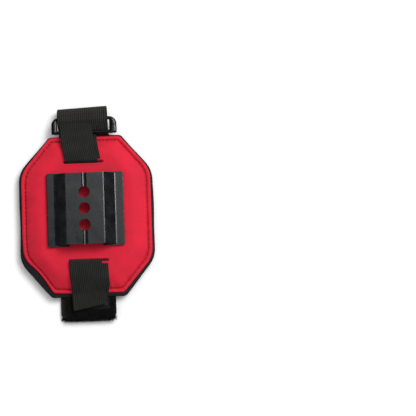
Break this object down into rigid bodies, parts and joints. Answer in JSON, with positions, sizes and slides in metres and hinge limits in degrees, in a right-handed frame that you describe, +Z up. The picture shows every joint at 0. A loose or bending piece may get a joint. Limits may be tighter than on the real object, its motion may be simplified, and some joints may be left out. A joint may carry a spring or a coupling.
{
  "type": "ankle cuff weight",
  "caption": "Padded strap-on limb cuff with a ballast plate, a moulded bracket with holes, an elastic, a ring and a hook-and-loop webbing strap.",
  "frame": {"origin": "on the table, under the middle of the folded cuff", "axes": "+X across the pad, +Y along the pad towards the ring, +Z up from the table, away from the limb"},
  "size_m": [0.1024, 0.162, 0.0264],
  "materials": {
    "red_cloth": "fine knit face laminated to thin foam",
    "black_cloth": "smooth knit",
    "foam": "closed-cell foam",
    "steel": "zinc plated",
    "black_plastic": "injection moulded, semi-gloss",
    "ring_plastic": "polished",
    "elastic": "ribbed lengthwise",
    "webbing": "woven, ribbed lengthwise",
    "pile": "brushed loop pile",
    "hook_tape": "fine moulded hooks"
  },
  "bodies": {
    "pad": {"back_panel": "black_cloth", "foam_core": "foam", "ballast_plate": "steel", "front_panel": "red_cloth", "bracket": "black_plastic", "bracket_screws": "steel", "elastic_strap": "elastic", "wrap_strap": "webbing", "pile_patch": "pile"},
    "ring": {"ring": "ring_plastic", "strap_riser": "webbing"},
    "tail": {"strap_fold": "webbing", "strap_tail": "webbing", "tail_hook": "hook_tape"},
    "tab": {"elastic_tab": "elastic", "tab_hook": "hook_tape"}
  },
  "joints": [
    {"name": "ring_swing", "type": "hinge", "parent": "pad", "child": "ring", "pos_m": [0, 0.0614, 0.00945], "axis": [1, 0, 0], "range_deg": [0, 25], "deforming": ["strap_riser"]},
    {"name": "tail_peel", "type": "hinge", "parent": "ring", "child": "tail", "pos_m": [0, 0.0749, 0.0061], "axis": [1, 0, 0], "range_deg": [0, 170], "deforming": ["strap_fold"]},
    {"name": "tab_lift", "type": "hinge", "parent": "pad", "child": "tab", "pos_m": [0, -0.042, 0.01795], "axis": [-1, 0, 0], "range_deg": [0, 110]}
  ]
}
